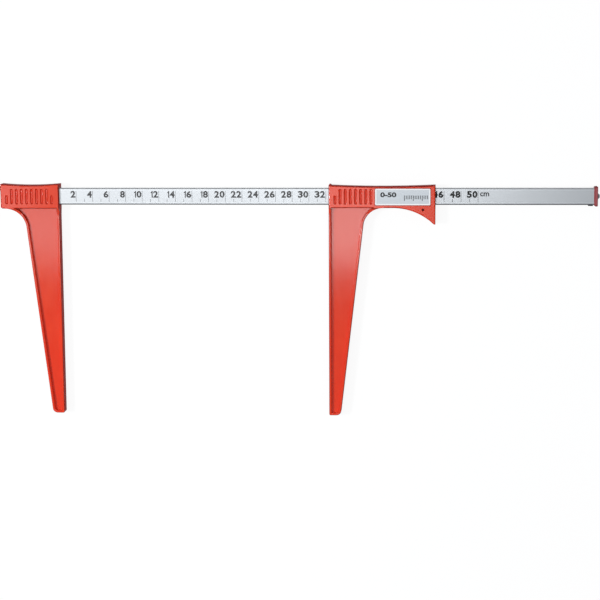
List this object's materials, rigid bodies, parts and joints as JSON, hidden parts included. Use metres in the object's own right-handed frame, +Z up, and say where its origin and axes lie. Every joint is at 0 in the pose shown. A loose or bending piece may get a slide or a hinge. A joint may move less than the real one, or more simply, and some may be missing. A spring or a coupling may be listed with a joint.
{
  "type": "tree caliper",
  "caption": "Flat measuring caliper: a graduated aluminium beam with a fixed and a sliding moulded plastic jaw, an end cap and a stop screw.",
  "frame": {"origin": "middle of the fixed jaw's measuring face, halfway through the caliper's thickness", "axes": "+X along the beam from the fixed jaw towards the end cap, +Y from the arm tips towards the beam, +Z up out of the face with the scale and the label"},
  "size_m": [0.7156, 0.28, 0.018],
  "materials": {
    "anodised_aluminium": "satin anodised, with a white printed scale panel",
    "red_plastic": "moulded, semi-gloss orange-red",
    "cap_plastic": "moulded, semi-gloss darker red",
    "screw_steel": "zinc plated",
    "glide_plastic": "natural acetal",
    "pin_steel": "dark, ground",
    "spring_steel": "bright strip",
    "label_silver": "plain silver face with a white border"
  },
  "bodies": {
    "beam_body": {"beam": "anodised_aluminium", "fixed_jaw": "red_plastic", "jaw_screw": "screw_steel", "end_cap": "cap_plastic", "cap_screw": "screw_steel", "stop_screw": "screw_steel"},
    "slider": {"sliding_jaw": "red_plastic", "upper_shoe": "glide_plastic", "lower_shoe": "glide_plastic", "shoe_pin": "pin_steel", "drag_spring": "spring_steel", "label_plate": "label_silver"}
  },
  "joints": [
    {"name": "jaw_slide", "type": "slide", "parent": "beam_body", "child": "slider", "axis": [1, 0, 0], "range_m": [-0.3237, 0.1785]}
  ]
}
